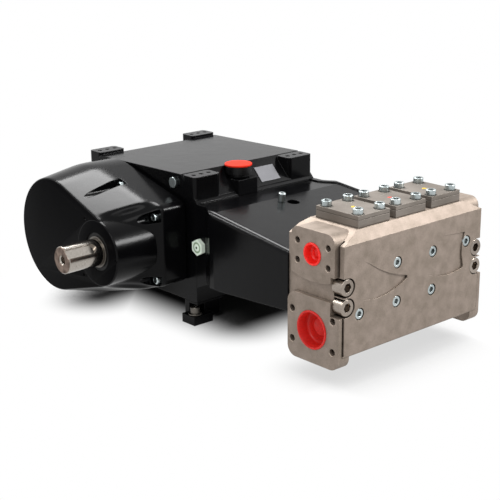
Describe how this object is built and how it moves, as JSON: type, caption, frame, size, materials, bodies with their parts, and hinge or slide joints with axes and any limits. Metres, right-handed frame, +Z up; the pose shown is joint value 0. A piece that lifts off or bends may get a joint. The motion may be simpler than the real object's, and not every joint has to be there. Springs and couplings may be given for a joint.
{
  "type": "high pressure plunger pump",
  "caption": "Heavy high pressure plunger pump with a bare keyed drive shaft, side gear case, black crankcase on bolt-down feet and a metal valve manifold with flanged ports.",
  "frame": {"origin": "centre of the foot pattern on the floor", "axes": "+X along the crankshaft away from the drive shaft, -Y towards the front of the manifold, +Z up"},
  "size_m": [0.5425, 0.721, 0.2816],
  "materials": {
    "black_paint_iron": "satin gloss paint on cast iron",
    "black_paint_alloy": "satin gloss paint on cast metal",
    "zinc_steel": "zinc plated",
    "ground_steel": "ground",
    "seal_rubber": "matt",
    "black_plastic": "matt",
    "red_plastic": "satin",
    "plate_aluminium": "satin",
    "sight_glass": "gloss",
    "manifold_steel": "satin machined"
  },
  "bodies": {
    "pump_body": {"crankcase": "black_paint_iron", "rear_cover": "black_paint_alloy", "rear_cover_screws": "zinc_steel", "side_bearing_cover": "black_paint_iron", "side_cover_screws": "zinc_steel", "gear_case": "black_paint_alloy", "gear_case_screws": "zinc_steel", "shaft_seal": "seal_rubber", "shaft_collar": "zinc_steel", "crosshead_housing": "black_paint_alloy", "vent_screw": "zinc_steel", "oil_filler_boss": "black_paint_iron", "oil_filler_cap": "black_plastic", "oil_filler_disc": "red_plastic", "name_plate": "plate_aluminium", "side_plug": "zinc_steel", "oil_sight_glass": "sight_glass", "sight_glass_lens": "black_plastic", "foot_front_left": "black_paint_iron", "foot_front_right": "black_paint_iron", "foot_rear_left": "black_paint_iron", "foot_rear_right": "black_paint_iron", "manifold_block": "manifold_steel", "valve_cover_left": "manifold_steel", "valve_cover_middle": "manifold_steel", "valve_cover_right": "manifold_steel", "valve_screws_left": "zinc_steel", "valve_screws_middle": "zinc_steel", "valve_screws_right": "zinc_steel", "manifold_face_screws": "zinc_steel", "manifold_end_screws": "zinc_steel", "outlet_cap_left": "red_plastic", "outlet_cap_right": "red_plastic", "inlet_cap_left": "red_plastic", "inlet_cap_right": "red_plastic"},
    "shaft": {"drive_shaft": "ground_steel"}
  },
  "joints": [
    {"name": "drive_shaft_spin", "type": "hinge", "parent": "pump_body", "child": "shaft", "pos_m": [-0.33, -0.076, 0.1515], "axis": [-1, 0, 0], "continuous": true}
  ]
}
